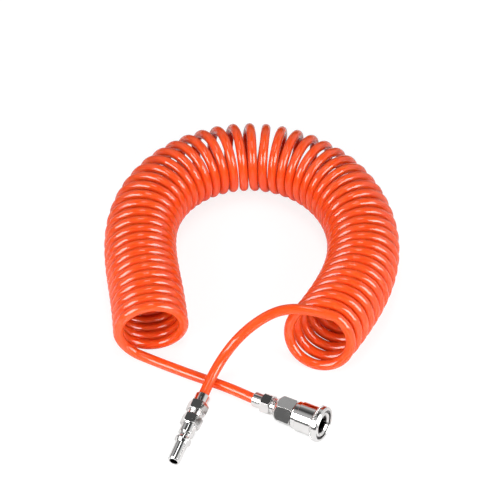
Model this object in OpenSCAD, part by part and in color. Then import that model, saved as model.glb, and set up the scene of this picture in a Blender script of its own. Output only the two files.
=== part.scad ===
/* [Hose] */
// Outside diameter of the hose
hose_d = 8; // [7:0.25:9]
// Bore of the hose, which the barbs fill
hose_bore = 5; // [4.4:0.1:5.6]

/* [Coil] */
// Mean diameter of the coil, through the middle of the hose
coil_mean_d = 51; // [44:1:58]
// Gap between neighbouring turns on the side where the coil is closed
turn_gap = 0.45; // [0.45:0.05:1.2]
// How much thinner the wound hose is drawn than the hose, so that its touching turns stay apart
coil_play = 0.5; // [0.4:0.05:0.8]
// Turns in the whole coil; the odd half puts its ends at the bottom and at the top
coil_turns = 51.5; // [47.5:1:53.5]
// Direction of the coil's axis at its left mouth, from +X
coil_heading = 96.5; // [90:0.5:100]
// Lean of the last turn at the right mouth
mouth_lean = 20; // [0:1:24]
// Turn of the last turn at the right mouth away from the coil's axis
mouth_yaw = 22; // [0:1:24]
// Lean of the first turn at the left mouth
start_lean = 3; // [0:1:10]
// Turns over which a mouth leans and turns
mouth_turns = 13; // [8:1:16]
// How far the hose runs forward out of the left mouth
unwind = 9; // [0:1:10]

/* [Compression nuts] */
// Width of a nut across its flats
nut_af = 14; // [13.5:0.25:16]
// Length of a nut's hexagon
nut_hex_l = 8; // [6:0.5:10]
// Wall of a nut's round neck
nut_neck_wall = 1.5; // [1:0.1:2]
// Length of a nut's round neck
nut_neck_l = 8; // [6:0.5:10]
// Room round the hose where it enters a nut
hose_room = 0.25; // [0.15:0.05:0.5]
// Diameter of the thread that a nut screws onto
thread_d = 12; // [11.5:0.1:12.5]
// Length of bare thread between a nut and the next hexagon
thread_gap = 4.5; // [3:0.5:6]
// How far the socket's nut stands turned from the large hexagon
nut_turn = 12; // [0:1:12]
// Air passage through the barbs
air_bore_d = 3.2; // [2.6:0.1:3.6]

/* [Plug] */
// Width of the plug's hexagon across its flats
plug_af = 14; // [13.5:0.25:15]
// Length of the plug's hexagon
plug_hex_l = 8; // [6:0.5:10]
// Diameter of the plug's shank
shank_d = 11.8; // [11:0.1:12.2]
// Length of the shank behind the groove
shank_l = 7.7; // [5:0.1:9]
// Diameter at the bottom of the locking groove
groove_d = 9.6; // [9.2:0.1:10.2]
// Length of the bottom of the locking groove
groove_l = 2.2; // [1.5:0.1:3]
// Diameter of the collar that the balls hold
collar_d = 12.6; // [12.2:0.1:13]
// Length of the collar
collar_l = 2.1; // [1.5:0.1:3]
// Diameter of the nose
nose_d = 9.5; // [8.8:0.1:9.8]
// Length of the nose in front of the collar
nose_l = 17.5; // [15:0.5:18]
// Bore of the nose
nose_bore_d = 6.2; // [5:0.2:7]

/* [Socket] */
// Width of the large hexagon across its flats
body_af = 19; // [18.5:0.25:20]
// Length of the large hexagon
body_hex_l = 15.5; // [15:0.5:18]
// Chamber that holds the valve
chamber_d = 13.6; // [13:0.1:14]
// Wall of the spigot that joins the body to the hexagon
spigot_wall = 0.9; // [0.7:0.1:1.1]
// Thickness of the gasket between the hexagon and the body
gasket_t = 0.8; // [0.5:0.1:1.5]
// Width of the gasket, in the radius
gasket_w = 1.1; // [0.8:0.1:1.2]
// Length of the fixed band behind the sleeve
band_l = 4.5; // [4.5:0.25:6]
// Length of the body in front of the band
nose_tube_l = 18.2; // [18:0.2:20]
// Distance from the front of the body to the balls
ball_setback = 8; // [7:0.25:8.5]
// Room round the collar in the socket, in the radius
collar_room = 0.2; // [0.1:0.05:0.3]
// Room round the nose in the socket, in the radius
nose_room = 0.2; // [0.1:0.05:0.3]
// Chamfer that leads the plug into the mouth
lead_in = 1.4; // [0.8:0.1:1.6]
// Diameter of a locking ball
ball_d = 4.6; // [4.2:0.1:4.8]
// Room round a ball in its hole, in the radius
ball_room = 0.1; // [0.05:0.01:0.15]

/* [Sleeve] */
// Travel of the sleeve towards the hose
sleeve_travel = 4.3; // [4:0.1:4.4]
// Clearance of the sleeve on the body, in the radius
sleeve_clearance = 0.12; // [0.08:0.01:0.15]
// Wall of the sleeve
sleeve_wall = 0.65; // [0.5:0.05:1]
// Wall of the sleeve's front flange
flange_wall = 2.5; // [2:0.1:3.5]
// Length of the flange
flange_l = 5.5; // [4:0.5:6]
// Wire of the sleeve spring
sleeve_wire = 0.9; // [0.7:0.05:0.9]
// Turns of the sleeve spring
sleeve_spring_turns = 2; // [1.5:0.5:2]

/* [Valve] */
// Travel of the valve when the plug pushes it
valve_travel = 4; // [3:0.5:4]
// Thickness of the valve's disc
valve_disc_t = 2.8; // [2:0.1:3]
// Thickness of the seal on the disc
valve_seal_t = 0.9; // [0.6:0.1:1.2]
// Wire of the valve spring
valve_wire = 0.8; // [0.6:0.05:0.9]
// Turns of the valve spring
valve_spring_turns = 4.5; // [3.5:0.5:4.5]

/* [Where the couplers lie] */
// Rear of the socket's nut, sideways
socket_x = 2; // [-2:0.5:8]
// Rear of the socket's nut, towards the back
socket_y = -110.5; // [-114:0.5:-106]
// Direction of the socket, from +X
socket_turn = -31; // [-40:1:-20]
// Rear of the plug's nut, sideways
plug_x = -37; // [-40:0.5:-34]
// Rear of the plug's nut, towards the back
plug_y = -110.5; // [-114:0.5:-108]
// Direction of the plug, from +X
plug_turn = -110; // [-115:1:-105]

/* [Hidden] */

hose_orange = "orangered";
plated_steel = "silver";
dark_rubber = "dimgray";
spring_steel = "gray";
ball_steel = "gainsboro";

hose_r = hose_d / 2;
coil_r = coil_mean_d / 2;
wound_d = hose_d - coil_play;

// ---- The coil ----
// Middle of the left mouth, and the bend of the coil's axis in degrees per turn at even steps
coil_start = [-77.3, -62.8];
bends = [0, -1, 1.8, 6, 7.1, 8.5, 7.1, 5, 4.8, 2.4, 1];
// Turns over which the hose unwinds out of the left mouth
unwind_turns = 0.22;
// Turns by which the left arm is shorter than the row of bends
cut_turns = 1;
// A curl has eight flat lengths; its corners stand out so that the lengths touch the true circle
curl_rings = 8;
corner_r = coil_r / cos(180 / curl_rings);
coil_sides = 6;
tail_sides = 8;
// The coil is cut flat where it rests, by a tenth of the hose
flat_cut = hose_d / 10;

function unit(v) = v / norm(v);
function mix(a, b, u) = a * (1 - u) + b * u;
function along(list, u) = let (i = min(floor(u), len(list) - 2)) mix(list[i], list[i + 1], u - i);
function bend_at(t) = along(bends, max(0, t + cut_turns) / (coil_turns + cut_turns) * (len(bends) - 1));
function ramp(t) = max(0, t - (coil_turns - mouth_turns)) / mouth_turns;
function start_ramp(t) = max(0, mouth_turns - max(t, 0)) / mouth_turns;
function lean_at(t) = mouth_lean * pow(ramp(t), 1.3) + start_lean * pow(start_ramp(t), 1.3);
function yaw_at(t) = mouth_yaw * pow(ramp(t), 1.3);
function radians(a) = a * PI / 180;
// Fan of one turn against the next, in degrees per turn
function fan_at(t) = let (
        lean_rate = lean_at(t + 0.5) - lean_at(t - 0.5),
        yaw_rate = yaw_at(t + 0.5) - yaw_at(t - 0.5)
    ) norm([bend_at(t) - yaw_rate, lean_rate]);
// Advance of the axis in one turn: the closed side keeps its gap however the coil bends and leans
function pitch_at(t) =
    (wound_d + turn_gap + corner_r * radians(fan_at(t))) / (cos(lean_at(t)) * cos(yaw_at(t)));
function heading_vector(h) = [cos(h), sin(h), 0];

// Turn counts at which the coil has a ring, from the bottom of the left mouth to the top of the right one
curl_count = round(coil_turns * curl_rings);
ring_turns = [0, for (k = [0 : curl_count - 1]) (k + 0.5) / curl_rings, coil_turns];
ring_radii = [coil_r, for (k = [0 : curl_count - 1]) corner_r, coil_r];
// Each row: x, y and heading of the coil's axis at a ring
axis_rows = [
    for (i = 0, x = coil_start.x, y = coil_start.y, h = coil_heading; i < len(ring_turns);
        step = i + 1 < len(ring_turns) ? ring_turns[i + 1] - ring_turns[i] : 0,
        t = ring_turns[i] + step / 2,
        turned = bend_at(t) * step,
        x = x + pitch_at(t) * step * cos(h - turned / 2),
        y = y + pitch_at(t) * step * sin(h - turned / 2),
        h = h - turned,
        i = i + 1)
    [x, y, h]
];
// The ring's place in its curl: 0 is the outside of the bend, 90 the top
function phase(t) = 360 * t - 90;
function outward(h) = [-sin(h), cos(h), 0];
function upward(h, lean) = [-cos(h) * sin(lean), -sin(h) * sin(lean), cos(lean)];
function forward_slip(t) = unwind * pow(max(0, 1 - t / unwind_turns), 2);
function curl_centre(i) = let (
        t = ring_turns[i],
        row = axis_rows[i],
        rest_h = (coil_r + hose_r) * cos(lean_at(t)) - flat_cut
    ) [row.x, row.y, rest_h] - heading_vector(row.z) * forward_slip(t);
function radial(i) = let (
        t = ring_turns[i],
        h = axis_rows[i].z + yaw_at(t)
    ) cos(phase(t)) * outward(h) + sin(phase(t)) * upward(h, lean_at(t));
function round_the_curl(i) = let (
        t = ring_turns[i],
        h = axis_rows[i].z + yaw_at(t)
    ) cos(phase(t)) * upward(h, lean_at(t)) - sin(phase(t)) * outward(h);
function curl_tangent(i) = let (
        t = ring_turns[i],
        slip_rate = 2 * unwind / unwind_turns * max(0, 1 - t / unwind_turns)
    ) unit(2 * PI * coil_r * round_the_curl(i)
        + (pitch_at(t) + slip_rate) * heading_vector(axis_rows[i].z));

last = len(ring_turns) - 1;
curl_points = [for (i = [0 : last]) curl_centre(i) + ring_radii[i] * radial(i)];
curl_tangents = [for (i = [0 : last]) curl_tangent(i)];
curl_radials = [for (i = [0 : last]) radial(i)];
// Straight lead of one hose diameter at each end
coil_in = curl_points[0] - hose_d * curl_tangents[0];
coil_out = curl_points[last] + hose_d * curl_tangents[last];
coil_points = concat([coil_in], curl_points, [coil_out]);
coil_tangents = concat([curl_tangents[0]], curl_tangents, [curl_tangents[last]]);
coil_radials = concat([curl_radials[0]], curl_radials, [curl_radials[last]]);

// Least distance of a point to the stretch of hose from a to b
function to_stretch(p, a, b) = let (
        u = max(0, min(1, (p - a) * (b - a) / ((b - a) * (b - a))))
    ) norm(p - mix(a, b, u));
coil_gap = min([
    for (i = [0 : last - curl_rings - 1], k = [i + curl_rings - 2 : min(last - 1, i + curl_rings + 1)])
        to_stretch(curl_points[i], curl_points[k], curl_points[k + 1])
]) - wound_d;
function run_length(points) = len(points) < 2 ? 0
    : [for (i = [0 : len(points) - 2]) norm(points[i + 1] - points[i])] * [for (i = [0 : len(points) - 2]) 1];
echo(least_gap_of_the_coil_to_itself = coil_gap);
echo(length_of_the_coil = run_length(curl_points));

// ---- Swept tubes ----
// Points of one ring: its flats face along the first direction, and none lies below the floor
function ring(p, tangent, first, r, sides) = let (
        n = unit(first - tangent * (first * tangent)),
        w = cross(tangent, n)
    ) [for (k = [0 : sides - 1])
        let (
            a = 360 * (k + 0.5) / sides,
            v = p + r * (cos(a) * n + sin(a) * w)
        ) [v.x, v.y, max(v.z, 0)]];
function tube_faces(rings, sides) = concat(
    [for (i = [0 : rings - 2], k = [0 : sides - 1])
        let (a = i * sides + k, b = i * sides + (k + 1) % sides) [a, a + sides, b]],
    [for (i = [0 : rings - 2], k = [0 : sides - 1])
        let (a = i * sides + k, b = i * sides + (k + 1) % sides) [b, a + sides, b + sides]],
    [for (k = [1 : sides - 2]) [0, k, k + 1]],
    [for (k = [1 : sides - 2]) let (e = (rings - 1) * sides) [e, e + k + 1, e + k]]
);
module tube(points, tangents, firsts, r, sides) {
    rows = [for (i = [0 : len(points) - 1]) each ring(points[i], tangents[i], firsts[i], r, sides)];
    polyhedron(points = rows, faces = tube_faces(len(points), sides), convexity = 20);
}
// A smooth curve through a route's points, with one more ring in the middle of each stretch
function curve_mid(p) = [for (i = [1 : len(p) - 3]) (9 * (p[i] + p[i + 1]) - p[i - 1] - p[i + 2]) / 16];
function curve(p) = let (m = curve_mid(p)) concat(
    [p[0], p[1]],
    [for (i = [1 : len(p) - 3]) each [m[i - 1], p[i + 1]]],
    [p[len(p) - 1]]
);
function tangents_of(p) = [for (i = [0 : len(p) - 1])
    unit(p[min(i + 1, len(p) - 1)] - p[max(i - 1, 0)])];
module tail(route) {
    points = curve(route);
    tangents = concat([unit(route[1] - route[0])],
        [for (i = [1 : len(points) - 2]) tangents_of(points)[i]],
        [unit(route[len(route) - 1] - route[len(route) - 2])]);
    tube(points, tangents, [for (t = tangents) [0, 0, 1]], hose_r, tail_sides);
}

// ---- Lengths along both couplers, from the rear face of their nuts ----
nut_l = nut_neck_l + nut_hex_l;
barb_start = 2;
hose_stop = nut_neck_l + 1.5;
hex_start = nut_l + thread_gap;
body_hex_end = hex_start + body_hex_l;
gasket_end = body_hex_end + gasket_t;
band_end = gasket_end + band_l;
mouth_z = band_end + nose_tube_l;
ball_z = mouth_z - ball_setback;
// How deep the plug goes: its balls lie against the rear slope of the collar
collar_slope = (collar_d - groove_d) / 2;
plug_hex_end = hex_start + plug_hex_l;
groove_start = plug_hex_end + shank_l + (shank_d - groove_d) / 2;
collar_start = groove_start + groove_l + collar_slope;
collar_end = collar_start + collar_l;
tip_z = collar_end + nose_l;
plug_ball_z = groove_start + groove_l - 0.8;
plug_tip_in_socket = ball_z - (tip_z - plug_ball_z);

// ---- Radii of the socket, from the plug outwards ----
ball_r = ball_d / 2;
groove_room = 0.2;
lift_room = 0.15;
ball_rest_r = groove_d / 2 + groove_room + ball_r;
ball_travel = collar_d / 2 + lift_room - (groove_d / 2 + groove_room);
body_r = ball_rest_r + ball_r;
socket_bore_r = collar_d / 2 + collar_room;
nose_pass_r = nose_d / 2 + nose_room;
packing_l = 3;
packing_r = nose_pass_r + 1.9;
spring_room = 0.15;
skirt_r = body_r + sleeve_wire + 2 * spring_room;
sleeve_r = skirt_r + sleeve_wall;
band_r = skirt_r - sleeve_clearance;
land_r = body_r + sleeve_clearance;
// The cam cone inside the sleeve lets the balls out as the sleeve goes back
cam_slope = ball_travel / sleeve_travel;
cam_room = 0.05;
cam_r = ball_rest_r + (ball_r + cam_room) / cos(atan(cam_slope));
function cam_at(z) = cam_r + cam_slope * (z - ball_z);
cam_start = ball_z - (cam_r - land_r) / cam_slope;
cam_end = ball_z + sleeve_travel;
recess_r = cam_at(cam_end);
flange_r = recess_r + flange_wall;
sleeve_back = gasket_end + sleeve_travel - 0.6;
sleeve_front = mouth_z + 0.5;
land_back = ball_z - ball_r - 0.8;
ring_r = recess_r - 0.25;
ring_l = 1;
ring_back = ball_z + (ring_r + 0.06 - cam_r) / cam_slope;
ring_groove_r = body_r - 0.5;

// ---- Lengths of the valve ----
chamber_r = chamber_d / 2;
spigot_r = chamber_r + spigot_wall;
chamber_back = hex_start + 0.8;
valve_back = chamber_back + valve_travel + 0.1;
disc_front = valve_back + valve_disc_t;
seal_front = disc_front + valve_seal_t;
seat_z = seal_front + 0.1;
crown_front = plug_tip_in_socket + valve_travel;
valve_r = chamber_r - 0.4;
valve_neck_r = nose_pass_r - 1.4;
crown_r = nose_pass_r - 0.4;
spring_pocket_r = 4.1;
spring_pocket_back = nut_l - 1;
thread_r = thread_d / 2;
thread_clearance = 0.1;
passage_r = air_bore_d / 2;
round_fn = 96;

// Corner radius of a hexagon of a given width across its flats
function hex_r(af) = af / 2 / cos(30);

// ---- How the couplers rest on the floor ----
// The socket rests on a flat of its large hexagon and on the edge of its flange
flange_back = sleeve_front - flange_l;
flange_step = 2.2;
hex_ease = 1.9;
flange_edge_z = flange_back + flange_step;
hex_edge_z = hex_start + hex_ease;
socket_rise = atan((flange_r - body_af / 2) / (flange_edge_z - hex_edge_z));
socket_at = [socket_x, socket_y, flange_r * cos(socket_rise) - flange_edge_z * sin(socket_rise)];
// The plug rests on the edge of its collar and on the edge of its tip
collar_edge_z = collar_end - 0.3;
tip_edge_z = tip_z - 1;
plug_fall = atan((collar_d - nose_d) / 2 / (tip_edge_z - collar_edge_z));
plug_at = [plug_x, plug_y, collar_d / 2 * cos(plug_fall) + collar_edge_z * sin(plug_fall)];

// ---- Placing ----
module on_socket() {
    translate(socket_at) rotate([0, 90 - socket_rise, socket_turn]) children();
}
module on_plug() {
    translate(plug_at) rotate([0, 90 + plug_fall, plug_turn]) children();
}
socket_axis = [cos(socket_turn) * cos(socket_rise), sin(socket_turn) * cos(socket_rise), sin(socket_rise)];
plug_axis = [cos(plug_turn) * cos(plug_fall), sin(plug_turn) * cos(plug_fall), -sin(plug_fall)];
echo(socket_at = socket_at, socket_axis = socket_axis, plug_at = plug_at, plug_axis = plug_axis);

// ---- Hose tails: each leaves the coil straight and enters its nut straight ----
socket_route = concat(
    [coil_in, coil_in - hose_r * curl_tangents[0]],
    [[-54, -81.5, hose_r], [-40, -87.5, hose_r], [-26, -93.5, hose_r], [-12, -100.5, hose_r + 0.7]],
    [socket_at - hose_d * socket_axis, socket_at, socket_at + hose_stop * socket_axis]
);
plug_route = concat(
    [coil_out, coil_out + hose_r * curl_tangents[last]],
    [[30, -56, 50.5], [19, -57.5, 48.5], [9, -61.5, 45], [0, -65.5, 40], [-9, -70.5, 34.5], [-16, -75.5, 28]],
    [[-22, -80.5, 21], [-28, -87, 14.5]],
    [plug_at - hose_d * plug_axis, plug_at, plug_at + hose_stop * plug_axis]
);
echo(length_of_the_tails = [run_length(curve(socket_route)), run_length(curve(plug_route))]);

module hose_coil() {
    color(hose_orange) tube(coil_points, coil_tangents, coil_radials, wound_d / 2, coil_sides);
}
// The end of a tail is bored where the barb fills it
bore_l = 14;
module hose_tail_socket() {
    color(hose_orange) difference() {
        tail(socket_route);
        on_socket() hose_end_bore();
    }
}
module hose_tail_plug() {
    color(hose_orange) difference() {
        tail(plug_route);
        on_plug() hose_end_bore();
    }
}
module hose_end_bore() {
    translate([0, 0, hose_stop - bore_l]) cylinder(d = hose_bore, h = bore_l + 1, $fn = round_fn);
}

// ---- Compression nut: round neck, hexagon, hose bore and thread bore ----
module nut() {
    neck_r = hose_r + hose_room + nut_neck_wall;
    edge = 0.6;
    difference() {
        union() {
            rotate_extrude($fn = round_fn)
                polygon([[0, 0], [neck_r - edge, 0], [neck_r, edge], [neck_r, nut_neck_l + 0.5], [0, nut_neck_l + 0.5]]);
            chamfered_hex(nut_af, nut_neck_l, nut_l);
        }
        translate([0, 0, -1]) cylinder(r = hose_r + hose_room, h = hose_stop + 1, $fn = round_fn);
        translate([0, 0, hose_stop - 0.2])
            cylinder(r = thread_r + thread_clearance, h = nut_l - hose_stop + 1.2, $fn = round_fn);
    }
}
// A hexagon along Z with its corners turned off at both ends
module chamfered_hex(af, z0, z1) {
    corner = hex_r(af);
    flat = af / 2;
    drop = (corner - flat) * 0.6;
    intersection() {
        translate([0, 0, z0]) rotate(30) cylinder(r = corner, h = z1 - z0, $fn = 6);
        rotate_extrude($fn = round_fn)
            polygon([[0, z0], [flat, z0], [corner, z0 + drop], [corner, z1 - drop], [flat, z1], [0, z1]]);
    }
}
// Barb and outside thread, shared by the socket and the plug; the passage is cut by the caller
module barb_and_thread() {
    barb_r = hose_bore / 2;
    ridge = 0.3;
    step = (hose_stop - barb_start) / 3;
    rotate_extrude($fn = round_fn) polygon(concat(
        [[0, barb_start]],
        [for (k = [0 : 2]) each [
            [barb_r, barb_start + k * step],
            [barb_r + ridge, barb_start + (k + 0.6) * step],
            [barb_r, barb_start + (k + 0.6) * step + 0.1]
        ]],
        [[barb_r, hose_stop], [thread_r - 0.6, hose_stop], [thread_r, hose_stop + 0.6],
            [thread_r, hex_start + 0.2], [0, hex_start + 0.2]]
    ));
}

module socket_nut() {
    color(plated_steel) on_socket() rotate(nut_turn) nut();
}
module plug_nut() {
    color(plated_steel) on_plug() nut();
}

// ---- Socket adapter: barb, thread, and the large hexagon that holds the valve ----
module socket_adapter() {
    corner = hex_r(body_af);
    flat = body_af / 2;
    bevel = 1.6;
    dome_l = 5;
    color(plated_steel) on_socket() difference() {
        union() {
            barb_and_thread();
            intersection() {
                translate([0, 0, hex_start]) rotate(30) cylinder(r = corner, h = body_hex_l, $fn = 6);
                rotate_extrude($fn = round_fn) polygon([
                    [0, hex_start], [flat - bevel, hex_start], [flat - 0.2, hex_start + bevel],
                    [corner - 0.3, hex_start + dome_l - bevel], [corner, hex_start + dome_l],
                    [corner, body_hex_end - 0.8], [flat, body_hex_end], [0, body_hex_end]
                ]);
            }
        }
        translate([0, 0, barb_start - 1])
            cylinder(r = passage_r, h = spring_pocket_back - barb_start + 2, $fn = round_fn);
        translate([0, 0, spring_pocket_back])
            cylinder(r = spring_pocket_r, h = chamber_back - spring_pocket_back + 1, $fn = round_fn);
        translate([0, 0, chamber_back])
            cylinder(r = chamber_r, h = body_hex_end - chamber_back + 1, $fn = round_fn);
        translate([0, 0, seat_z - 0.3])
            cylinder(r = spigot_r + thread_clearance, h = body_hex_end - seat_z + 1.3, $fn = round_fn);
    }
}
module body_gasket() {
    inner_r = spigot_r + 0.2;
    color(dark_rubber) on_socket() rotate_extrude($fn = round_fn)
        translate([inner_r, body_hex_end]) square([gasket_w, gasket_t]);
}
// ---- Socket body: spigot with the valve seat, fixed band, nose tube with six ball holes ----
module socket_body() {
    packing_back = band_end - 1.3;
    bore_back = packing_back + packing_l + 2.2;
    relief = 0.3;
    mouth_wall_z = ball_z + ball_r + ball_room + 0.2;
    color(plated_steel) on_socket() difference() {
        rotate_extrude($fn = round_fn) polygon([
            [nose_pass_r, seat_z], [spigot_r, seat_z], [spigot_r, gasket_end],
            [band_r - 0.4, gasket_end], [band_r, gasket_end + 0.4], [band_r, band_end], [body_r, band_end],
            [body_r, ring_back - 0.1], [ring_groove_r, ring_back - 0.1],
            [ring_groove_r, ring_back + ring_l + 0.1], [body_r, ring_back + ring_l + 0.1],
            [body_r, mouth_z - 0.6], [body_r - 0.6, mouth_z],
            [socket_bore_r + lead_in, mouth_z], [socket_bore_r, mouth_z - lead_in],
            [socket_bore_r, mouth_wall_z], [socket_bore_r + relief, mouth_wall_z - relief],
            [socket_bore_r + relief, bore_back + 1], [nose_pass_r, bore_back],
            [nose_pass_r, packing_back + packing_l], [packing_r, packing_back + packing_l],
            [packing_r, packing_back], [nose_pass_r, packing_back]
        ]);
        for (a = [0 : 60 : 300]) translate([0, 0, ball_z]) rotate([0, 90, a])
            cylinder(r = ball_r + ball_room, h = body_r + 1, $fn = round_fn);
    }
}
module nose_packing() {
    packing_back = band_end - 1.3;
    side_room = 0.1;
    inner_r = nose_d / 2 + 0.05;
    color(dark_rubber) on_socket() rotate_extrude($fn = round_fn) polygon([
        [inner_r + 0.3, packing_back + side_room], [packing_r - side_room, packing_back + side_room],
        [packing_r - side_room, packing_back + packing_l - side_room],
        [inner_r + 0.3, packing_back + packing_l - side_room],
        [inner_r, packing_back + packing_l - 0.6], [inner_r, packing_back + 0.6]
    ]);
}

// ---- Valve: disc, neck and a slotted crown that the plug's tip pushes ----
module valve() {
    color(plated_steel) on_socket() difference() {
        rotate_extrude($fn = round_fn) polygon([
            [0, valve_back], [valve_r - 0.3, valve_back], [valve_r, valve_back + 0.3],
            [valve_r, disc_front], [valve_neck_r, disc_front], [valve_neck_r, seat_z + 0.6],
            [crown_r, seat_z + 1.2], [crown_r, crown_front], [0, crown_front]
        ]);
        translate([0, 0, seat_z + 1.5]) cylinder(r = crown_r - 0.9, h = crown_front, $fn = round_fn);
        for (a = [45, 135]) translate([0, 0, crown_front]) rotate(a)
            cube([2 * crown_r + 2, 1.6, 2 * (crown_front - seat_z - 1.7)], center = true);
    }
}
module valve_seal() {
    color(dark_rubber) on_socket() rotate_extrude($fn = round_fn)
        translate([valve_neck_r + 0.1, disc_front])
            square([valve_r - 0.3 - valve_neck_r - 0.1, valve_seal_t]);
}

// ---- Springs: one unbroken wire each ----
spring_steps = 24;
module coil_spring(mean_r, wire, z0, z1, turns) {
    count = round(turns * spring_steps);
    points = [for (i = [0 : count]) let (a = 360 * i / spring_steps)
        [mean_r * cos(a), mean_r * sin(a), mix(z0 + wire / 2, z1 - wire / 2, i / count)]];
    rise = (z1 - z0 - wire) / turns;
    tangents = [for (i = [0 : count]) let (a = 360 * i / spring_steps)
        unit([-2 * PI * mean_r * sin(a), 2 * PI * mean_r * cos(a), rise])];
    rows = [for (i = [0 : count]) let (
            a = 360 * i / spring_steps,
            n = [cos(a), sin(a), 0],
            w = cross(tangents[i], n)
        ) each [for (k = [0 : coil_sides - 1]) let (b = 360 * k / coil_sides)
            points[i] + wire / 2 * (cos(b) * n + sin(b) * w)]];
    polyhedron(points = rows, faces = tube_faces(count + 1, coil_sides), convexity = 10);
}
module sleeve_spring() {
    color(spring_steel) on_socket() coil_spring(body_r + spring_room + sleeve_wire / 2, sleeve_wire,
        band_end + 0.2, land_back - 0.2, sleeve_spring_turns);
}
module valve_spring() {
    color(spring_steel) on_socket() coil_spring(spring_pocket_r - 0.2 - valve_wire / 2, valve_wire,
        spring_pocket_back + 0.2, valve_back - 0.2, valve_spring_turns);
}

// ---- Sleeve: skirt over the band, land over the balls, cam cone, open recess inside the flange ----
module sleeve() {
    color(plated_steel) on_socket() rotate_extrude($fn = round_fn) polygon([
        [skirt_r, sleeve_back], [sleeve_r - 0.3, sleeve_back], [sleeve_r, sleeve_back + 0.3],
        [sleeve_r, flange_back - 1], [flange_r - 1.2, flange_back], [flange_r - 0.6, flange_back + 0.3],
        [flange_r - 0.6, flange_back + flange_step - 0.6], [flange_r, flange_edge_z],
        [flange_r, sleeve_front - 1], [flange_r - 0.8, sleeve_front],
        [recess_r + 0.3, sleeve_front], [recess_r, sleeve_front - 0.3],
        [recess_r, cam_end], [land_r, cam_start], [land_r, land_back], [skirt_r, land_back]
    ]);
}
module retaining_ring() {
    color(spring_steel) on_socket() difference() {
        translate([0, 0, ring_back]) cylinder(r = ring_r, h = ring_l, $fn = round_fn);
        translate([0, 0, ring_back - 1]) cylinder(r = ring_groove_r + 0.05, h = ring_l + 2, $fn = round_fn);
        translate([0, -0.75, ring_back - 1]) cube([ring_r + 1, 1.5, ring_l + 2]);
    }
}
module ball(number) {
    color(ball_steel) on_socket() rotate(60 * (number - 1)) translate([ball_rest_r, 0, ball_z])
        sphere(r = ball_r, $fn = 48);
}

// ---- Plug: barb, thread, hexagon, shank, locking groove, collar and nose ----
module plug_body() {
    nose_r = nose_d / 2;
    color(plated_steel) on_plug() difference() {
        union() {
            barb_and_thread();
            chamfered_hex(plug_af, hex_start, plug_hex_end);
            rotate_extrude($fn = round_fn) polygon([
                [0, plug_hex_end - 1], [shank_d / 2, plug_hex_end - 1], [shank_d / 2, plug_hex_end + shank_l],
                [groove_d / 2, groove_start], [groove_d / 2, groove_start + groove_l],
                [collar_d / 2, collar_start], [collar_d / 2, collar_edge_z], [collar_d / 2 - 0.3, collar_end],
                [shank_d / 2 - 0.2, collar_end], [nose_r, collar_end + 1.8],
                [nose_r, tip_edge_z], [nose_r - 0.6, tip_z], [0, tip_z]
            ]);
        }
        translate([0, 0, barb_start - 1]) cylinder(r = passage_r, h = hex_start - barb_start + 2, $fn = round_fn);
        translate([0, 0, hex_start]) cylinder(r = nose_bore_d / 2, h = tip_z - hex_start + 1, $fn = round_fn);
    }
}

hose_coil();
hose_tail_socket();
hose_tail_plug();
socket_nut();
socket_adapter();
body_gasket();
socket_body();
nose_packing();
valve();
valve_seal();
valve_spring();
sleeve();
sleeve_spring();
retaining_ring();
ball(1);  // ball_1
ball(2);  // ball_2
ball(3);  // ball_3
ball(4);  // ball_4
ball(5);  // ball_5
ball(6);  // ball_6
plug_nut();
plug_body();
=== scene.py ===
# %% [markdown]
# # A coiled air hose and its couplers
#
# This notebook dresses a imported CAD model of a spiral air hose. The model already holds every rigid
# piece in its real place and size. What Blender adds is the hose itself, drawn round and smooth, the
# small worked details of the metal, and the materials, the light and the camera.
#
# The first cell loads the model. Its pieces sit on bodies: `hose` holds whatever stays still,
# `sleeve`, `valve` and the six balls slide. All numbers are in metres once they reach Blender.

# %% Load the model
import math

import bpy
import bmesh
import numpy as np
from mathutils import Matrix, Vector


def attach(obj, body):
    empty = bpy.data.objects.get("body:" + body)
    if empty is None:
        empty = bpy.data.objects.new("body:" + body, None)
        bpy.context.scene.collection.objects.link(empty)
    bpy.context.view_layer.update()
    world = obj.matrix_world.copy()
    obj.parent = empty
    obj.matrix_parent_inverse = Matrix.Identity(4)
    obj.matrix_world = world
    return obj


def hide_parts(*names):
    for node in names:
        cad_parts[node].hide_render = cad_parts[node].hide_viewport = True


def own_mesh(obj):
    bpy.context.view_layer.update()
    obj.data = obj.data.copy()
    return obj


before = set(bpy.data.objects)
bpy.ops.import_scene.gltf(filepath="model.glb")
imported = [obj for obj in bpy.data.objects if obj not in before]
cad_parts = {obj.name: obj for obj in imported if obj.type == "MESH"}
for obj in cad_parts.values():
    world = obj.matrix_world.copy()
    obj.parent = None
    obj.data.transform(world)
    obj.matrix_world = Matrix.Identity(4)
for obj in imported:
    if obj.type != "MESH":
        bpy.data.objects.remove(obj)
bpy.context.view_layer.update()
MM = 0.001

# %% [markdown]
# ## The camera
#
# The camera stands in front of the open side of the horseshoe and looks down at 45 degrees. A long
# lens keeps the two arms of the coil nearly parallel.

# %% Camera
LOOK_AT = Vector((-9, 66.5, 0)) * MM
CAMERA_DISTANCE = 1240.3 * MM
CAMERA_HEIGHT_ANGLE = math.radians(45)
FOCAL_PIXELS = 1465
FRAME_PIXELS = 480
SENSOR_MM = 36
CLOSEST, FURTHEST = 0.01, 20

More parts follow.
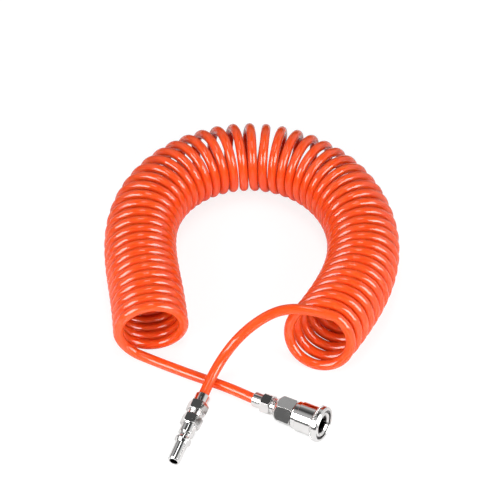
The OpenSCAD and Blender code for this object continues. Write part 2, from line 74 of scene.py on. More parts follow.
camera = bpy.data.objects.new("camera", bpy.data.cameras.new("camera"))
bpy.context.scene.collection.objects.link(camera)
bpy.context.scene.camera = camera
camera.location = LOOK_AT + CAMERA_DISTANCE * Vector(
    (0, -math.cos(CAMERA_HEIGHT_ANGLE), math.sin(CAMERA_HEIGHT_ANGLE)))
camera.rotation_euler = (math.pi / 2 - CAMERA_HEIGHT_ANGLE, 0, 0)
camera.data.sensor_width = SENSOR_MM
camera.data.lens = FOCAL_PIXELS / FRAME_PIXELS * SENSOR_MM
camera.data.clip_start, camera.data.clip_end = CLOSEST, FURTHEST
print("lens, mm:", round(camera.data.lens, 1))

# %% [markdown]
# ## Small helpers
#
# Colours are written as the hex values that a paint chart gives. Shaders work in linear light, so one
# function turns them. Another adds a node with its settings and links in one line, which keeps the
# material cells short enough to read.

# %% Helpers for colour and nodes
def linear(hex_colour):
    """An sRGB hex colour as the linear values that a shader wants."""
    parts = [int(hex_colour[k:k + 2], 16) / 255 for k in (1, 3, 5)]
    return (*[p / 12.92 if p <= 0.04045 else ((p + 0.055) / 1.055) ** 2.4 for p in parts], 1.0)


def add(tree, kind, links=None, values=None, **settings):
    """Adds a node. links maps an input to the socket that feeds it, values maps an input to a number."""
    node = tree.nodes.new(kind)
    for name, value in settings.items():
        setattr(node, name, value)
    for name, value in (values or {}).items():
        node.inputs[name].default_value = value
    for name, socket in (links or {}).items():
        tree.links.new(socket, node.inputs[name])
    return node


def new_material(name):
    """An empty material with its Principled shader wired to the output."""
    material = bpy.data.materials.new(name)
    material.use_nodes = True
    tree = material.node_tree
    tree.nodes.clear()
    shader = add(tree, "ShaderNodeBsdfPrincipled")
    add(tree, "ShaderNodeOutputMaterial", {"Surface": shader.outputs["BSDF"]})
    return material, tree, shader


# %% [markdown]
# ## Hose material: extruded polyurethane
#
# The hose is clear polyurethane with an orange pigment. It comes out of a polished die, so its skin is
# glossy, and it is a little translucent: light goes a few millimetres through the wall and comes back
# redder. That is why the inside of the coil glows a deep red and not brown. Subsurface scattering
# gives this, with a red radius much longer than the blue one.
#
# The hose's mesh comes with an attribute `along`, the distance along the hose in metres. The pigment
# follows it, so its slow drift runs with the hose and not across the coil. The noise has 22 swells to a
# metre, which is one in every 45 mm of hose.

# %% Hose material
hose_material, tree, shader = new_material("polyurethane_orange_extruded")
along = add(tree, "ShaderNodeAttribute", attribute_name="along")
place = add(tree, "ShaderNodeTexCoord")
# Pigment drifts slowly along an extruded tube, over some centimetres
drift = add(tree, "ShaderNodeTexNoise", {"W": along.outputs["Fac"]}, {"Scale": 22, "Detail": 2},
            noise_dimensions="1D")
pigment = add(tree, "ShaderNodeMix", {"Factor": drift.outputs["Fac"]}, data_type="RGBA")
pigment.inputs["A"].default_value = linear("#E94E1A")
pigment.inputs["B"].default_value = linear("#ED5721")
tree.links.new(pigment.outputs["Result"], shader.inputs["Base Color"])
# The skin has a faint handling haze, in patches of some eight millimetres
haze = add(tree, "ShaderNodeTexNoise", {"Vector": place.outputs["Object"]},
           {"Scale": 120, "Detail": 1})
gloss = add(tree, "ShaderNodeMapRange", {"Value": haze.outputs["Fac"]},
            {"From Min": 0.3, "From Max": 0.7, "To Min": 0.03, "To Max": 0.07})
tree.links.new(gloss.outputs["Result"], shader.inputs["Roughness"])
ripple = add(tree, "ShaderNodeBump", {"Height": haze.outputs["Fac"]},
             {"Strength": 0.02, "Distance": 0.2 * MM})
tree.links.new(ripple.outputs["Normal"], shader.inputs["Normal"])
shader.inputs["IOR"].default_value = 1.56
shader.inputs["Subsurface Weight"].default_value = 0.5
shader.inputs["Subsurface Radius"].default_value = (1.0, 0.28, 0.08)
shader.inputs["Subsurface Scale"].default_value = 3 * MM
print(hose_material.name, "nodes:", len(tree.nodes))

# %% [markdown]
# ## Metal materials
#
# The couplers are turned from steel bar and chrome plated. Chrome is a mirror with hardly a colour of
# its own, and what you see in it is mostly the room. The lathe leaves fine rings round the axis, and
# the thin plating keeps them, so the gloss is slightly uneven from ring to ring. Real rings are about a
# tenth of a millimetre apart, too fine to show here, so they are drawn two to four times as coarse. The
# rings need to know the axis: a dot product of the position with the axis gives the distance along it.

# %% Where the two couplers lie
def coupler_frame(at, turn, rise):
    """Origin and axes of a coupler: its own Z runs from the nut to the mouth or the tip."""
    a, e = math.radians(turn), math.radians(rise)
    z = np.array((math.cos(a) * math.cos(e), math.sin(a) * math.cos(e), math.sin(e)))
    x = np.array((math.sin(e) * math.cos(a), math.sin(e) * math.sin(a), -math.cos(e)))
    y = np.cross(z, x)
    return np.array(at, float), x, y, z


# The nut's end in mm, and the degrees that the axis turns from +X and rises from the floor
SOCKET_AT, SOCKET_TURN, SOCKET_RISE = (2, -110.5, 6.687), -31, 7.031
PLUG_AT, PLUG_TURN, PLUG_RISE = (-37, -110.5, 10.206), -110, -5.271
socket_frame = coupler_frame(SOCKET_AT, SOCKET_TURN, SOCKET_RISE)
plug_frame = coupler_frame(PLUG_AT, PLUG_TURN, PLUG_RISE)
print("socket's axis:", socket_frame[3].round(3), " plug's axis:", plug_frame[3].round(3))


# %% A turned metal
# Radius that a worked edge has, and how deep the rings are, in mm
EDGE_R = 0.25
RING_DEPTH = 0.05


def turned_metal(name, colour, coupler, low, high, ring_mm, relief, painted_shade_bore=None):
    """A metal with lathe rings round a coupler's axis, ring_mm apart, its roughness from low to high.

    The last argument gives the radius of a hole in mm, inside which painted shade darkens the metal, and
    how far from the nut that painted shade starts."""
    material, tree, shader = new_material(name)
    origin, _, _, axis = coupler
    place = add(tree, "ShaderNodeTexCoord")
    from_nut = add(tree, "ShaderNodeVectorMath", {0: place.outputs["Object"]},
                   {1: Vector(origin) * MM}, operation="SUBTRACT")
    depth = add(tree, "ShaderNodeVectorMath", {0: from_nut.outputs["Vector"]}, {1: Vector(axis)},
                operation="DOT_PRODUCT")
    rings = add(tree, "ShaderNodeTexNoise", {"W": depth.outputs["Value"]},
                {"Scale": 1 / (ring_mm * MM), "Detail": 1}, noise_dimensions="1D")
    # Handling leaves a smear in patches of five or six millimetres
    smear = add(tree, "ShaderNodeTexNoise", {"Vector": place.outputs["Object"]},
                {"Scale": 180, "Detail": 4})
    both = add(tree, "ShaderNodeMath", {0: rings.outputs["Fac"], 1: smear.outputs["Fac"]},
               operation="MULTIPLY")
    # Most of the product of the two lies between 0.12 and 0.4
    gloss = add(tree, "ShaderNodeMapRange", {"Value": both.outputs[0]},
                {"From Min": 0.12, "From Max": 0.4, "To Min": low, "To Max": high})
    tree.links.new(gloss.outputs["Result"], shader.inputs["Roughness"])
    # A worked edge is never razor sharp: the bevel node rounds it in the shading
    edge = add(tree, "ShaderNodeBevel", values={"Radius": EDGE_R * MM}, samples=4)
    bump = add(tree, "ShaderNodeBump", {"Height": rings.outputs["Fac"], "Normal": edge.outputs["Normal"]},
               {"Strength": relief, "Distance": RING_DEPTH * MM})
    tree.links.new(bump.outputs["Normal"], shader.inputs["Normal"])
    shader.inputs["Base Color"].default_value = linear(colour)
    shader.inputs["Metallic"].default_value = 1.0
    if painted_shade_bore:
        # Painted shade: deep inside a narrow bore the chrome is mixed towards a dark grey, painted where
        # shade falls in the hole
        near = add(tree, "ShaderNodeVectorMath", {0: from_nut.outputs["Vector"]}, {1: Vector(axis)},
                   operation="CROSS_PRODUCT")
        radius = add(tree, "ShaderNodeVectorMath", {0: near.outputs["Vector"]}, operation="LENGTH")
        bore_r, bore_from = painted_shade_bore
        unshaded = add(tree, "ShaderNodeMapRange", {"Value": radius.outputs["Value"]},
                     {"From Min": (bore_r - 0.1) * MM, "From Max": (bore_r + 0.2) * MM})
        behind = add(tree, "ShaderNodeMath", {0: depth.outputs["Value"]}, {1: bore_from * MM},
                     operation="LESS_THAN")
        unshaded = add(tree, "ShaderNodeMath", {0: unshaded.outputs["Result"], 1: behind.outputs[0]},
                     operation="MAXIMUM")
        bore_shade_mix = add(tree, "ShaderNodeMix", {"Factor": unshaded.outputs[0]}, data_type="RGBA")
        bore_shade_mix.inputs["A"].default_value = linear("#4A4746")
        bore_shade_mix.inputs["B"].default_value = linear(colour)
        tree.links.new(bore_shade_mix.outputs["Result"], shader.inputs["Base Color"])
    return material


# %% Metal and rubber materials
CHROME = {"colour": "#DEDDDC", "low": 0.04, "high": 0.11, "ring_mm": 0.35, "relief": 0.15}
# Both couplers get painted shade deep inside their bores
socket_chrome = turned_metal("chrome_plated_steel_socket", coupler=socket_frame, painted_shade_bore=(6.9, 34), **CHROME)
plug_chrome = turned_metal("chrome_plated_steel_plug", coupler=plug_frame, painted_shade_bore=(3.2, 20), **CHROME)
spring_wire = turned_metal("drawn_spring_steel", "#9A9A9C", socket_frame, low=0.2, high=0.35,
                           ring_mm=0.2, relief=0.1)
ball_steel = turned_metal("polished_bearing_steel", "#E3E3E4", socket_frame, low=0.03, high=0.08,
                          ring_mm=0.2, relief=0.0)

rubber, tree, shader = new_material("nitrile_rubber_moulded")
place = add(tree, "ShaderNodeTexCoord")
# The mould leaves a fine grain, drawn 0.4 mm across, which is coarser than the real one, to show
grain = add(tree, "ShaderNodeTexNoise", {"Vector": place.outputs["Object"]},
            {"Scale": 2500, "Detail": 3})
bump = add(tree, "ShaderNodeBump", {"Height": grain.outputs["Fac"]},
           {"Strength": 0.3, "Distance": 0.05 * MM})
tree.links.new(bump.outputs["Normal"], shader.inputs["Normal"])
shader.inputs["Base Color"].default_value = linear("#1C1B1B")
shader.inputs["Roughness"].default_value = 0.55
print("materials:", [material.name for material in (socket_chrome, plug_chrome, spring_wire, ball_steel,
                                                    rubber)])

# %% [markdown]
# ## The line of the hose
#
# A recoil hose is wound on a mandrel and heat set, so at rest every turn touches the next. Here the
# coil has been bent into a horseshoe, and its turns stay closed on the inside of the bend and fan out
# on the outside. One rule draws all of it: walk along the coil's axis, turn by turn, and at each
# moment go round a circle that stands across the axis. The step forward in a turn is one hose diameter
# plus the part that the bend opens.
#
# The numbers and the rule are the same as in the CAD source, so the smooth hose lies where its plain
# solid lies. That solid has eight straight lengths to a turn, whose corners stand out a little from the
# true circle, and the step allows for them.

# %% Sizes of the coil
# Lengths are in millimetres, angles in degrees, and t counts turns from the socket's end
HOSE_D = 8.0
HOSE_R = HOSE_D / 2
COIL_R = 25.5
LENGTHS_PER_TURN = 8
CORNER_R = COIL_R / math.cos(math.pi / LENGTHS_PER_TURN)
# The plain solid's hose is thinner by the first of these, and its turns stand apart by the second
COIL_PLAY, TURN_GAP = 0.5, 0.45
# The bends below are laid out for a coil that is longer by the second at the socket's end
COIL_TURNS, CUT_TURNS = 51.5, 1
COIL_START = (-77.3, -62.8)
COIL_HEADING = 96.5
# Degrees that the axis turns in each turn, at even steps along the coil
BENDS = (0, -1, 1.8, 6, 7.1, 8.5, 7.1, 5, 4.8, 2.4, 1)
# The last turns lean back and turn aside, and the first ones lean a little
MOUTH_LEAN, MOUTH_YAW, START_LEAN = 20, 22, 3
MOUTH_TURNS, MOUTH_EASE = 13, 1.3
# The first part of a turn runs forward out of the left mouth
UNWIND, UNWIND_TURNS = 9, 0.22
RINGS_PER_TURN = 64


def bend_at(t):
    share = (t + CUT_TURNS) / (COIL_TURNS + CUT_TURNS)
    return np.interp(share * (len(BENDS) - 1), range(len(BENDS)), BENDS)


def end_share(t):
    return np.clip(t - (COIL_TURNS - MOUTH_TURNS), 0, None) / MOUTH_TURNS


def start_share(t):
    return np.clip(MOUTH_TURNS - np.clip(t, 0, None), 0, None) / MOUTH_TURNS


def lean_at(t):
    return MOUTH_LEAN * end_share(t) ** MOUTH_EASE + START_LEAN * start_share(t) ** MOUTH_EASE


def yaw_at(t):
    return MOUTH_YAW * end_share(t) ** MOUTH_EASE


def pitch_at(t):
    """The step forward in a turn, longer where the axis bends or the turns lean or yaw."""
    fan = np.hypot(bend_at(t) - (yaw_at(t + 0.5) - yaw_at(t - 0.5)),
                   lean_at(t + 0.5) - lean_at(t - 0.5))
    return (HOSE_D - COIL_PLAY + TURN_GAP + CORNER_R * np.radians(fan)) / (
        np.cos(np.radians(lean_at(t))) * np.cos(np.radians(yaw_at(t))))


print("step forward in the first, a middle and the last turn, mm:",
      [round(float(pitch_at(t)), 2) for t in (0, COIL_TURNS / 2, COIL_TURNS)])

# %% Wind the coil
turn_count = np.arange(round(COIL_TURNS * RINGS_PER_TURN) + 1) / RINGS_PER_TURN
x, y, heading = *COIL_START, float(COIL_HEADING)
axis_rows = [(x, y, heading)]
for t0, t1 in zip(turn_count[:-1], turn_count[1:]):
    step, middle = t1 - t0, (t0 + t1) / 2
    turned = bend_at(middle) * step
    ahead = pitch_at(middle) * step
    x += ahead * math.cos(math.radians(heading - turned / 2))
    y += ahead * math.sin(math.radians(heading - turned / 2))
    heading -= turned
    axis_rows.append((x, y, heading))
axis_rows = np.array(axis_rows)
travel = np.radians(axis_rows[:, 2])
facing = travel + np.radians(yaw_at(turn_count))
lean = np.radians(lean_at(turn_count))
phase = 2 * np.pi * turn_count - np.pi / 2
outward = np.c_[-np.sin(facing), np.cos(facing), 0 * facing]
upward = np.c_[-np.cos(facing) * np.sin(lean), -np.sin(facing) * np.sin(lean), np.cos(lean)]
slip = UNWIND * np.clip(1 - turn_count / UNWIND_TURNS, 0, None) ** 2
centres = np.c_[axis_rows[:, 0] - slip * np.cos(travel), axis_rows[:, 1] - slip * np.sin(travel),
                COIL_R * np.cos(lean) + HOSE_R]
coil_line = centres + COIL_R * (np.cos(phase)[:, None] * outward + np.sin(phase)[:, None] * upward)
print("turns:", COIL_TURNS, " hose in the coil, m:",
      round(float(np.linalg.norm(np.diff(coil_line, axis=0), axis=1).sum()) * MM, 2))

# %% [markdown]
# ## The two tails
#
# Each end leaves the coil in the direction it was travelling, because polyurethane this thick won't
# kink. One tail comes off the bottom of the left mouth and runs along the floor to the socket. The
# other comes off the top of the right mouth, comes down in one slow curve, crosses over the first and
# ends in the plug. A few points say where each one goes, short cubic pieces join them, and some
# rounds of averaging take out what is left of the corners.

# %% Route the tails
# The hose stops this far inside each nut
HOSE_STOP = 9.5
# Each tail runs on straight from the coil for two such steps
LEAD = 6
# The averaging holds the points at the nuts, and reaches a few points into the coil
HELD_POINTS = 6
POINTS_INTO_COIL = 5
AVERAGING_ROUNDS = 48


def unit(v):
    v = np.asarray(v, float)
    return v / np.linalg.norm(v)


def on_axis(coupler, distance):
    return coupler[0] + distance * coupler[3]


first = unit(coil_line[1] - coil_line[0])
final = unit(coil_line[-1] - coil_line[-2])
socket_route = [on_axis(socket_frame, d) for d in (HOSE_STOP, 4, 0, -8)] + [
    (-12, -100.5, 4.7), (-26, -93.5, 4), (-40, -87.5, 4), (-54, -81.5, 4),
    coil_line[0] - 2 * LEAD * first, coil_line[0] - LEAD * first]
plug_route = [coil_line[-1] + LEAD * final, coil_line[-1] + 2 * LEAD * final,
              (30, -56, 50.5), (19, -57.5, 48.5), (9, -61.5, 45), (0, -65.5, 40), (-9, -70.5, 34.5),
              (-16, -75.5, 28), (-22, -80.5, 21), (-28, -87, 14.5)] + [
              on_axis(plug_frame, d) for d in (-8, 0, 4, HOSE_STOP)]


def smooth_line(points, start, end, spacing):
    """Cubic pieces through the points, with the first and last directions given."""
    points = np.array(points, float)
    ways = [unit(start)] + [unit(c - a) for a, c in zip(points[:-2], points[2:])] + [unit(end)]
    made = []
    for a, b, wa, wb in zip(points[:-1], points[1:], ways[:-1], ways[1:]):
        gap = np.linalg.norm(b - a)
        for u in np.arange(0, 1, 1 / max(1, round(gap / spacing))):
            made.append((2 * u ** 3 - 3 * u ** 2 + 1) * a + (u ** 3 - 2 * u ** 2 + u) * gap * wa
                        + (3 * u ** 2 - 2 * u ** 3) * b + (u ** 3 - u ** 2) * gap * wb)
    return made + [points[-1]]


SPACING = 2 * math.pi * COIL_R / RINGS_PER_TURN
socket_tail = smooth_line(socket_route + [coil_line[0]], -socket_frame[3], first, SPACING)[:-1]
plug_tail = smooth_line([coil_line[-1]] + plug_route, final, plug_frame[3], SPACING)[1:]
hose_line = np.array([*socket_tail, *coil_line, *plug_tail])
soft = np.zeros(len(hose_line), bool)
soft[HELD_POINTS:len(socket_tail) + POINTS_INTO_COIL] = True
soft[len(hose_line) - len(plug_tail) - POINTS_INTO_COIL:-HELD_POINTS] = True
for _ in range(AVERAGING_ROUNDS):
    middle = (hose_line[:-2] + hose_line[2:]) / 2
    pulled = hose_line[1:-1] + 0.5 * (middle - hose_line[1:-1])
    hose_line[1:-1][soft[1:-1]] = pulled[soft[1:-1]]
hose_line[:, 2] = np.maximum(hose_line[:, 2], HOSE_R)
# The tails cross well away from the coil, so the points nearest to it are left out
NEAR_COIL = 4
a, b = hose_line[:len(socket_tail) - NEAR_COIL], hose_line[-len(plug_tail) + NEAR_COIL:]
crossing = np.linalg.norm(a[:, None] - b[None], axis=2).min() - HOSE_D
print("gap where the tails cross, mm:", round(float(crossing), 2))

# %% [markdown]
# ## Sweep a round section with Geometry Nodes
#
# A tube is a circle carried along a line. Geometry Nodes do that in one step with *Curve to Mesh*, and
# the same tree serves the hose, the wire of both springs and the threads: only the radius, the number
# of sides and the material differ. Before the circle is carried, the tree notes how far along the line
# each point lies, and stores it on the mesh for the hose's material.

# %% The sweeping tree
def sweep_tree():
    tree = bpy.data.node_groups.new("sweep_round_section", "GeometryNodeTree")
    tree.interface.new_socket("Geometry", in_out="INPUT", socket_type="NodeSocketGeometry")
    for name, kind in (("Radius", "NodeSocketFloat"), ("Sides", "NodeSocketInt"),
                       ("Material", "NodeSocketMaterial")):
        tree.interface.new_socket(name, in_out="INPUT", socket_type=kind)
    tree.interface.new_socket("Geometry", in_out="OUTPUT", socket_type="NodeSocketGeometry")
    given = add(tree, "NodeGroupInput")
    spline = add(tree, "GeometryNodeSplineParameter")
    thickness = add(tree, "GeometryNodeInputNamedAttribute", values={"Name": "thickness"},
                    data_type="FLOAT")
    line = add(tree, "GeometryNodeMeshToCurve", {"Mesh": given.outputs["Geometry"]})
    line_at = add(tree, "GeometryNodeCaptureAttribute", {"Geometry": line.outputs["Curve"]})
    line_at.capture_items.new("FLOAT", "along")
    tree.links.new(spline.outputs["Length"], line_at.inputs[1])
    ring = add(tree, "GeometryNodeCurvePrimitiveCircle",
               {"Resolution": given.outputs["Sides"], "Radius": given.outputs["Radius"]})
    swept = add(tree, "GeometryNodeCurveToMesh",
                {"Curve": line_at.outputs[0], "Profile Curve": ring.outputs["Curve"],
                 "Scale": thickness.outputs["Attribute"]}, {"Fill Caps": True})
    store = add(tree, "GeometryNodeStoreNamedAttribute", {"Geometry": swept.outputs["Mesh"]},
                {"Name": "along"}, data_type="FLOAT", domain="POINT")
    tree.links.new(line_at.outputs[1], store.inputs["Value"])
    smooth = add(tree, "GeometryNodeSetShadeSmooth", {"Geometry": store.outputs["Geometry"]})
    real = add(tree, "GeometryNodeRealizeInstances", {"Geometry": smooth.outputs["Geometry"]})
    dressed = add(tree, "GeometryNodeSetMaterial",
                  {"Geometry": real.outputs["Geometry"], "Material": given.outputs["Material"]})
    add(tree, "NodeGroupOutput", {"Geometry": dressed.outputs["Geometry"]})
    return tree


# %% Lines, and running a tree on them
def apply_tree(obj, tree, **values):
    """Runs a tree on an object and leaves the plain mesh that it makes."""
    modifier = obj.modifiers.new(tree.name, "NODES")
    modifier.node_group = tree
    for item in tree.interface.items_tree:
        if item.in_out == "INPUT" and item.name in values:
            modifier[item.identifier] = values[item.name]
    ready = obj.evaluated_get(bpy.context.evaluated_depsgraph_get())
    made = bpy.data.meshes.new_from_object(ready)
    obj.modifiers.remove(modifier)
    obj.data = made
    return obj


def line_object(name, points, thickness=1.0):
    """An object whose mesh is one open line through the points, given in millimetres.

    The thickness is a share of the swept radius, one for the whole line or one for each point."""
    mesh = bpy.data.meshes.new(name)
    mesh.from_pydata([tuple(p * MM for p in q) for q in points],
                     [(k, k + 1) for k in range(len(points) - 1)], [])
    shares = mesh.attributes.new("thickness", "FLOAT", "POINT")
    shares.data.foreach_set("value", np.broadcast_to(thickness, len(points)).astype(np.float32))
    obj = bpy.data.objects.new(name, mesh)
    bpy.context.scene.collection.objects.link(obj)
    return obj


sweep = sweep_tree()
print(sweep.name, "nodes:", len(sweep.nodes))

# %% [markdown]
# ## The hose
#
# With 64 rings to a turn and 24 sides the hose looks round at any distance this scene uses, and it
# stays under the number of triangles that one piece may have. Winding squeezes the turns where they
# touch, so the coil is drawn a hair thinner than the tails, and no turn cuts into the next.

# %% Make the hose
HOSE_SIDES = 24
# Share of the full thickness in the coil, and the points over which a tail thins down to it
WOUND_SHARE = 0.985
EASE_POINTS = 13
wound = np.full(len(hose_line), 1.0)
wound[len(socket_tail):len(hose_line) - len(plug_tail)] = WOUND_SHARE
wound = np.convolve(np.pad(wound, EASE_POINTS // 2, mode="edge"),
                    np.full(EASE_POINTS, 1 / EASE_POINTS), mode="valid")
hose = apply_tree(line_object("air_hose", hose_line, wound), sweep,
                  Radius=HOSE_R * MM, Sides=HOSE_SIDES, Material=hose_material)
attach(hose, "hose")
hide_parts("hose_coil", "hose_tail_socket", "hose_tail_plug")

# %% [markdown]
# ## Springs
#
# Both springs are drawn wire, so they are swept with the same tree. They hide inside the socket and
# show only when it is taken apart.

# %% Make the springs
def spring_line(coupler, mean_r, wire, low, high, turns, steps=32):
    origin, ex, ey, ez = coupler
    made = []
    for k in range(round(turns * steps) + 1):
        angle = 2 * math.pi * k / steps
        depth = low + wire / 2 + (high - low - wire) * k / (turns * steps)
        made.append(origin + mean_r * (math.cos(angle) * ex + math.sin(angle) * ey) + depth * ez)
    return made


# Middle radius, wire, the two ends on the socket's axis, turns, joint and travel, lengths in mm
for name, node, mean_r, wire, low, high, turns, joint, travel in (
        ("sleeve_spring_wire", "sleeve_spring", 10.2, 0.9, 41.5, 48.2, 2, "sleeve_slide", 4.3),
        ("valve_spring_wire", "valve_spring", 3.5, 0.8, 15.2, 25.2, 4.5, "valve_slide", 4.0)):
    spring = apply_tree(line_object(name, spring_line(socket_frame, mean_r, wire, low, high, turns)),
                        sweep, Radius=wire / 2 * MM, Sides=12, Material=spring_wire)
    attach(spring, "hose")
    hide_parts(node)
    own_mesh(spring)
    print(name, "mm long:", round(high - low, 1), " pressed:", round(high - low - travel, 1))

# %% [markdown]
# ## Threads
#
# Between each small nut and its hexagon a few turns of the clamping thread show. A rolled thread is a
# helix, so it is swept like the springs, at a pitch of one millimetre and just proud of its core.

# %% Cut the two threads
THREAD_R = 6.0
THREAD_PITCH = 1.0
THREAD_FROM, THREAD_TO = 16.4, 20.1
RIDGE_R = 0.34


def thread_line(coupler, radius, pitch, low, high, steps=40):
    origin, ex, ey, ez = coupler
    angles = 2 * math.pi * np.arange(round((high - low) / pitch * steps) + 1) / steps
    return [origin + radius * (math.cos(a) * ex + math.sin(a) * ey)
            + (low + pitch * a / (2 * math.pi)) * ez for a in angles]


for name, coupler, chrome in (("socket_thread", socket_frame, socket_chrome),
                              ("plug_thread", plug_frame, plug_chrome)):
    helix = thread_line(coupler, THREAD_R, THREAD_PITCH, THREAD_FROM, THREAD_TO)
    thread = apply_tree(line_object(name, helix), sweep, Radius=RIDGE_R * MM, Sides=8, Material=chrome)
    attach(thread, "hose")
    print(name, "turns:", round((THREAD_TO - THREAD_FROM) / THREAD_PITCH, 1))

# %% [markdown]
# ## Knurl on the sleeve's flange
#
# The flange is pulled back with two fingers, and a knurl behind its rim keeps them from slipping. A
# knurling wheel presses the same slanted ridge again and again. So one ridge is enough: Geometry Nodes
# set copies of it round a circle.

# %% The knurl tree
def knurl_tree():
    tree = bpy.data.node_groups.new("ridges_round_a_band", "GeometryNodeTree")
    for name, kind in (("Count", "NodeSocketInt"), ("Band Radius", "NodeSocketFloat"),
                       ("Ridge Length", "NodeSocketFloat"), ("Ridge Radius", "NodeSocketFloat"),
                       ("Slant", "NodeSocketFloat"), ("Material", "NodeSocketMaterial")):
        tree.interface.new_socket(name, in_out="INPUT", socket_type=kind)
    tree.interface.new_socket("Geometry", in_out="OUTPUT", socket_type="NodeSocketGeometry")
    given = add(tree, "NodeGroupInput")
    ridge = add(tree, "GeometryNodeMeshCylinder",
                {"Radius": given.outputs["Ridge Radius"], "Depth": given.outputs["Ridge Length"]},
                {"Vertices": 6, "Side Segments": 1})
    band = add(tree, "GeometryNodeMeshCircle",
               {"Vertices": given.outputs["Count"], "Radius": given.outputs["Band Radius"]})
    place = add(tree, "GeometryNodeInputPosition")
    turn = add(tree, "FunctionNodeAlignRotationToVector", {"Vector": place.outputs["Position"]},
               axis="X")
    tilt = add(tree, "ShaderNodeCombineXYZ", {"X": given.outputs["Slant"]})
    both = add(tree, "FunctionNodeRotateRotation", {"Rotation": turn.outputs["Rotation"]},
               rotation_space="LOCAL")
    tree.links.new(tilt.outputs["Vector"], both.inputs["Rotate By"])
    copies = add(tree, "GeometryNodeInstanceOnPoints",
                 {"Points": band.outputs["Mesh"], "Instance": ridge.outputs["Mesh"],
                  "Rotation": both.outputs["Rotation"]})
    real = add(tree, "GeometryNodeRealizeInstances", {"Geometry": copies.outputs["Instances"]})
    smooth = add(tree, "GeometryNodeSetShadeSmooth", {"Geometry": real.outputs["Geometry"]})
    dressed = add(tree, "GeometryNodeSetMaterial",
                  {"Geometry": smooth.outputs["Geometry"], "Material": given.outputs["Material"]})
    add(tree, "NodeGroupOutput", {"Geometry": dressed.outputs["Geometry"]})
    return tree


# %% Press the knurl
def stand_on(obj, coupler, depth):
    """Moves a mesh made round Z to its place on a coupler, and leaves the object at the origin."""
    origin, ex, ey, ez = coupler
    at = (origin + depth * ez) * MM
    obj.data.transform(Matrix([[ex[k], ey[k], ez[k], at[k]] for k in range(3)] + [[0, 0, 0, 1]]))
    obj.data.update()


# The band's radius and place on the axis, and a ridge's length and radius, in mm
KNURL_COUNT = 64
KNURL_R = 13.15
KNURL_AT = 55.45
KNURL_WIDTH = 1.5
KNURL_RIDGE_R = 0.36
KNURL_SLANT = math.radians(24)
# The tree makes everything itself and only needs an object to work on
knurl = apply_tree(line_object("sleeve_knurl", [(0, 0, 0), (0, 0, 1)]), knurl_tree(), Count=KNURL_COUNT,
                   **{"Band Radius": KNURL_R * MM, "Ridge Length": KNURL_WIDTH * MM,
                      "Ridge Radius": KNURL_RIDGE_R * MM, "Slant": KNURL_SLANT, "Material": socket_chrome})
stand_on(knurl, socket_frame, KNURL_AT)
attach(knurl, "sleeve")
print("knurl ridges:", KNURL_COUNT, " faces:", len(knurl.data.polygons))

# %% [markdown]
# ## Finishes of the CAD pieces
#
# The nuts, hexagons, sleeve and plug come from the CAD model with exact faces, so they stay and only
# get their finish. Each one is given the material in every slot that its mesh has.

# %% Dress the CAD nodes
FINISHES = {
    "socket_nut": socket_chrome, "socket_adapter": socket_chrome, "socket_body": socket_chrome,
    "sleeve": socket_chrome, "valve": socket_chrome, "retaining_ring": spring_wire,
    "plug_nut": plug_chrome, "plug_body": plug_chrome,
    "body_gasket": rubber, "nose_packing": rubber, "valve_seal": rubber,
    **{f"ball_{k}": ball_steel for k in range(1, 7)},
}
for name, material in FINISHES.items():
    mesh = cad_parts[name].data
    if not mesh.materials:
        mesh.materials.append(material)
    for k in range(len(mesh.materials)):
        mesh.materials[k] = material
print("CAD pieces dressed:", len(FINISHES))

# %% [markdown]
# ## Floor, world and lights
#
# The hose lies on a white table in a bright, even studio. Two square soft boxes stand left and right of
# the camera. A turn is curved about seven times more sharply across the hose than along it, so each box,
# nearly square as it is, shows on it as a long thin streak: that is the pair of highlights on every turn.
# A smaller lamp overhead adds the short one between them. A low lamp in front lights the inside of the two
# mouths and doesn't shine. To the camera the floor and the world are white, and the floor keeps a pale
# shadow near the hose.

# %% Floor
FLOOR_HALF = 4
FLOOR_AT = -0.2 * MM
GLOW = 1.12
# Share of the floor's look that is its glow, near the hose and far from it, and where each one holds
SHARE_NEAR, SHARE_FAR = 0.73, 1
NEAR, FAR = 0.25, 0.7
bm = bmesh.new()
bmesh.ops.create_grid(bm, x_segments=2, y_segments=2, size=FLOOR_HALF)
floor_mesh = bpy.data.meshes.new("floor")
bm.to_mesh(floor_mesh)
bm.free()
floor = bpy.data.objects.new("floor", floor_mesh)
bpy.context.scene.collection.objects.link(floor)
floor.location = (0, 0, FLOOR_AT)
floor_paint = bpy.data.materials.new("white_table")
floor_paint.use_nodes = True
tree = floor_paint.node_tree
tree.nodes.clear()
ray = add(tree, "ShaderNodeLightPath")
matt = add(tree, "ShaderNodeBsdfDiffuse", values={"Color": linear("#F2F2F2")})
glow = add(tree, "ShaderNodeEmission", values={"Color": (1, 1, 1, 1), "Strength": GLOW})
place = add(tree, "ShaderNodeTexCoord")
away = add(tree, "ShaderNodeVectorMath", {0: place.outputs["Object"]}, operation="LENGTH")
share = add(tree, "ShaderNodeMapRange", {"Value": away.outputs["Value"]},
            {"From Min": NEAR, "From Max": FAR, "To Min": SHARE_NEAR, "To Max": SHARE_FAR})
seen = add(tree, "ShaderNodeMath", {0: ray.outputs["Is Camera Ray"], 1: share.outputs["Result"]},
           operation="MULTIPLY")
mixed = add(tree, "ShaderNodeMixShader",
            {0: seen.outputs[0], 1: matt.outputs["BSDF"], 2: glow.outputs["Emission"]})
add(tree, "ShaderNodeOutputMaterial", {"Surface": mixed.outputs["Shader"]})
floor.data.materials.append(floor_paint)
print("floor, m across:", 2 * FLOOR_HALF)

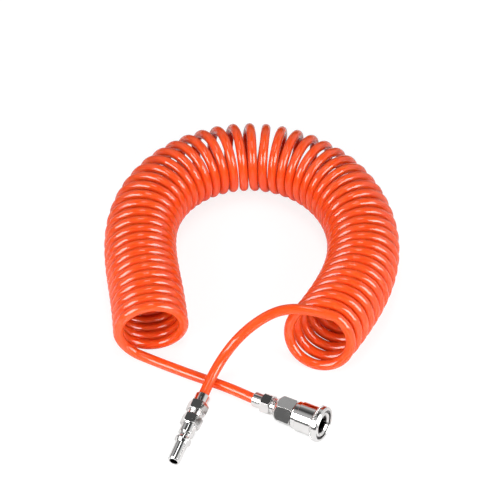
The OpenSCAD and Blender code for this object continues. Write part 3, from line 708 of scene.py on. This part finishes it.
# %% World
# What the walls look like in the chrome, from the table's edge (0) up to the ceiling (1)
FRONT_GREYS = ((0.01, 0.06), (0.1, 0.1), (0.3, 0.25), (0.6, 0.38), (0.75, 0.06), (0.99, 0.05))
BACK_GREYS = ((0.01, 0.02), (0.2, 0.035), (0.4, 0.22), (0.6, 0.7), (0.75, 0.2), (0.99, 0.06))
LEFT_GREYS = ((0.01, 0.1), (0.14, 0.27), (0.3, 0.36), (0.6, 0.55), (0.8, 0.6), (0.99, 0.3))
RIGHT_GREYS = ((0.01, 0.9), (0.3, 0.9), (0.6, 0.9), (0.75, 0.3), (0.85, 0.06), (0.99, 0.05))
FILL = 0.32
world = bpy.data.worlds.new("studio")
bpy.context.scene.world = world
world.use_nodes = True
tree = world.node_tree
tree.nodes.clear()
ray = add(tree, "ShaderNodeLightPath")
place = add(tree, "ShaderNodeTexCoord")
direction = add(tree, "ShaderNodeSeparateXYZ", {"Vector": place.outputs["Generated"]})


def wall(greys):
    """A ramp of greys by height."""
    node = add(tree, "ShaderNodeValToRGB", {"Fac": direction.outputs["Z"]})
    for height, grey in greys:
        stop = node.color_ramp.elements.new(height)
        stop.color = (grey, grey, grey, 1)
    # A new ramp has a stop at each end, which aren't wanted
    for spare in (0, -1):
        node.color_ramp.elements.remove(node.color_ramp.elements[spare])
    return node.outputs["Color"]


def towards(axis, start, end):
    """Rises from 0 to 1 as a direction turns towards an axis."""
    return add(tree, "ShaderNodeMapRange", {"Value": direction.outputs[axis]},
               {"From Min": start, "From Max": end}, interpolation_type="SMOOTHSTEP").outputs["Result"]


walls = add(tree, "ShaderNodeMix", {"Factor": towards("Y", 0.3, 0.7)}, data_type="RGBA")
tree.links.new(wall(FRONT_GREYS), walls.inputs["A"])
tree.links.new(wall(BACK_GREYS), walls.inputs["B"])
for greys, start, end in ((LEFT_GREYS, -0.35, -0.5), (RIGHT_GREYS, 0.5, 0.65)):
    walls = add(tree, "ShaderNodeMix", {"Factor": towards("X", start, end), "A": walls.outputs["Result"]},
                data_type="RGBA")
    tree.links.new(wall(greys), walls.inputs["B"])
room = add(tree, "ShaderNodeBackground", {"Color": walls.outputs["Result"]}, {"Strength": 1.0})
fill = add(tree, "ShaderNodeBackground", values={"Color": (1, 1, 1, 1), "Strength": FILL})
white = add(tree, "ShaderNodeBackground", values={"Color": (1, 1, 1, 1), "Strength": 1.0})
mixed = add(tree, "ShaderNodeMixShader",
            {0: ray.outputs["Is Glossy Ray"], 1: fill.outputs["Background"], 2: room.outputs["Background"]})
mixed = add(tree, "ShaderNodeMixShader",
            {0: ray.outputs["Is Camera Ray"], 1: mixed.outputs["Shader"], 2: white.outputs["Background"]})
add(tree, "ShaderNodeOutputWorld", {"Surface": mixed.outputs["Shader"]})
print("world nodes:", len(tree.nodes))

# %% Lights
# All lamps face this point, and a lamp that shines stands a little nearer than its light
AIM = Vector((0, 0, 0.03))
SHINE_AT = 0.96


def soft_box(name, place, size, power, shine):
    """A rectangular lamp at place that faces the hose, as two lamps: one lights, the other only shines.

    A real soft box is brightest in its middle. Setting the shine apart from the light gives the gloss
    its strength without washing out the colours."""
    for part, watts, nearer in (("light", power, 1.0), ("shine", shine, SHINE_AT)):
        if not watts:
            continue
        data = bpy.data.lights.new(f"{name}_{part}", "AREA")
        data.shape = "RECTANGLE"
        data.size, data.size_y = size
        data.energy = watts
        lamp = bpy.data.objects.new(f"{name}_{part}", data)
        bpy.context.scene.collection.objects.link(lamp)
        lamp.location = nearer * Vector(place)
        lamp.rotation_euler = (AIM - lamp.location).to_track_quat("-Z", "Y").to_euler()
        lamp.visible_diffuse = part == "light"
        lamp.visible_glossy = part == "shine"


soft_box("left_soft_box", (-0.63, -0.5, 0.5), size=(0.58, 0.5), power=4.1, shine=8.4)
soft_box("right_soft_box", (0.63, -0.5, 0.5), size=(0.58, 0.5), power=4.1, shine=8.4)
soft_box("overhead_lamp", (0, 0.03, 0.95), size=(0.24, 0.42), power=2.6, shine=1.2)
soft_box("front_fill", (0, -1.0, 0.25), size=(0.9, 0.3), power=4.5, shine=0)
bpy.context.scene.view_settings.view_transform = "Standard"
